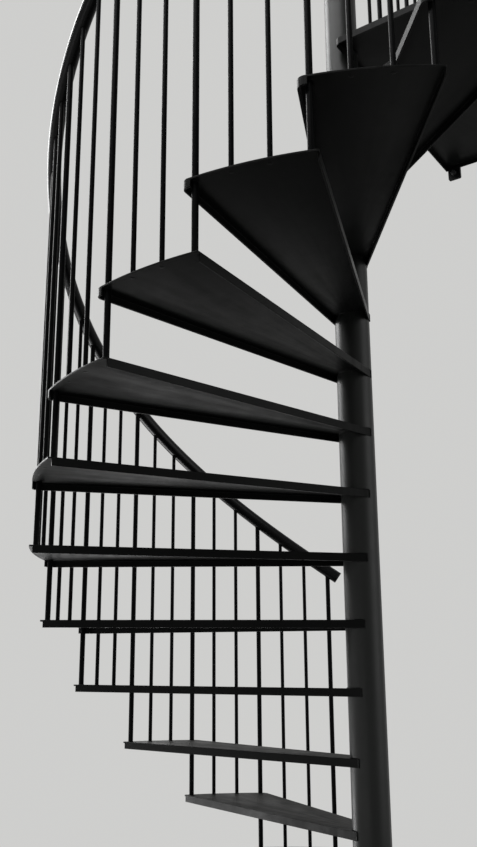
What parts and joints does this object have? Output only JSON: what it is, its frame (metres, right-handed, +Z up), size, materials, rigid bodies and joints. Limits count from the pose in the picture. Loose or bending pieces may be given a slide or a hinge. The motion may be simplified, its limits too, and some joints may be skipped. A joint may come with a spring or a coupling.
{
  "type": "spiral staircase",
  "caption": "Steel spiral staircase: folded plate treads round a tube column, a helical tube handrail on round bars, and a square top landing with guards.",
  "frame": {"origin": "column axis at floor level, on the underside of the base plate", "axes": "+Z up along the column; +X along the landing's front edge, away from the column; +Y across the landing towards the upper floor"},
  "size_m": [2.1063, 1.999, 4.212],
  "materials": {
    "painted_plate": "satin black paint",
    "painted_bar": "satin black paint",
    "painted_handrail": "satin black paint, worn smooth by hands",
    "painted_tube": "satin black paint"
  },
  "bodies": {
    "root": {"base_plate": "painted_tube", "column": "painted_tube", "column_cap": "painted_tube", "tread_01": "painted_plate", "tread_02": "painted_plate", "tread_03": "painted_plate", "tread_04": "painted_plate", "tread_05": "painted_plate", "tread_06": "painted_plate", "tread_07": "painted_plate", "tread_08": "painted_plate", "tread_09": "painted_plate", "tread_10": "painted_plate", "tread_11": "painted_plate", "tread_12": "painted_plate", "tread_13": "painted_plate", "tread_14": "painted_plate", "landing": "painted_plate", "landing_lug_left": "painted_plate", "landing_lug_right": "painted_plate", "balusters_01": "painted_bar", "balusters_02": "painted_bar", "balusters_03": "painted_bar", "balusters_04": "painted_bar", "balusters_05": "painted_bar", "balusters_06": "painted_bar", "balusters_07": "painted_bar", "balusters_08": "painted_bar", "balusters_09": "painted_bar", "balusters_10": "painted_bar", "balusters_11": "painted_bar", "balusters_12": "painted_bar", "balusters_13": "painted_bar", "balusters_14": "painted_bar", "starting_post": "painted_bar", "balusters_landing_side": "painted_bar", "balusters_landing_void": "painted_bar", "handrail_lower": "painted_handrail", "handrail_middle": "painted_handrail", "handrail_upper": "painted_handrail", "handrail_landing_side": "painted_handrail", "handrail_landing_void": "painted_handrail", "handrail_end_caps": "painted_handrail"}
  },
  "joints": []
}
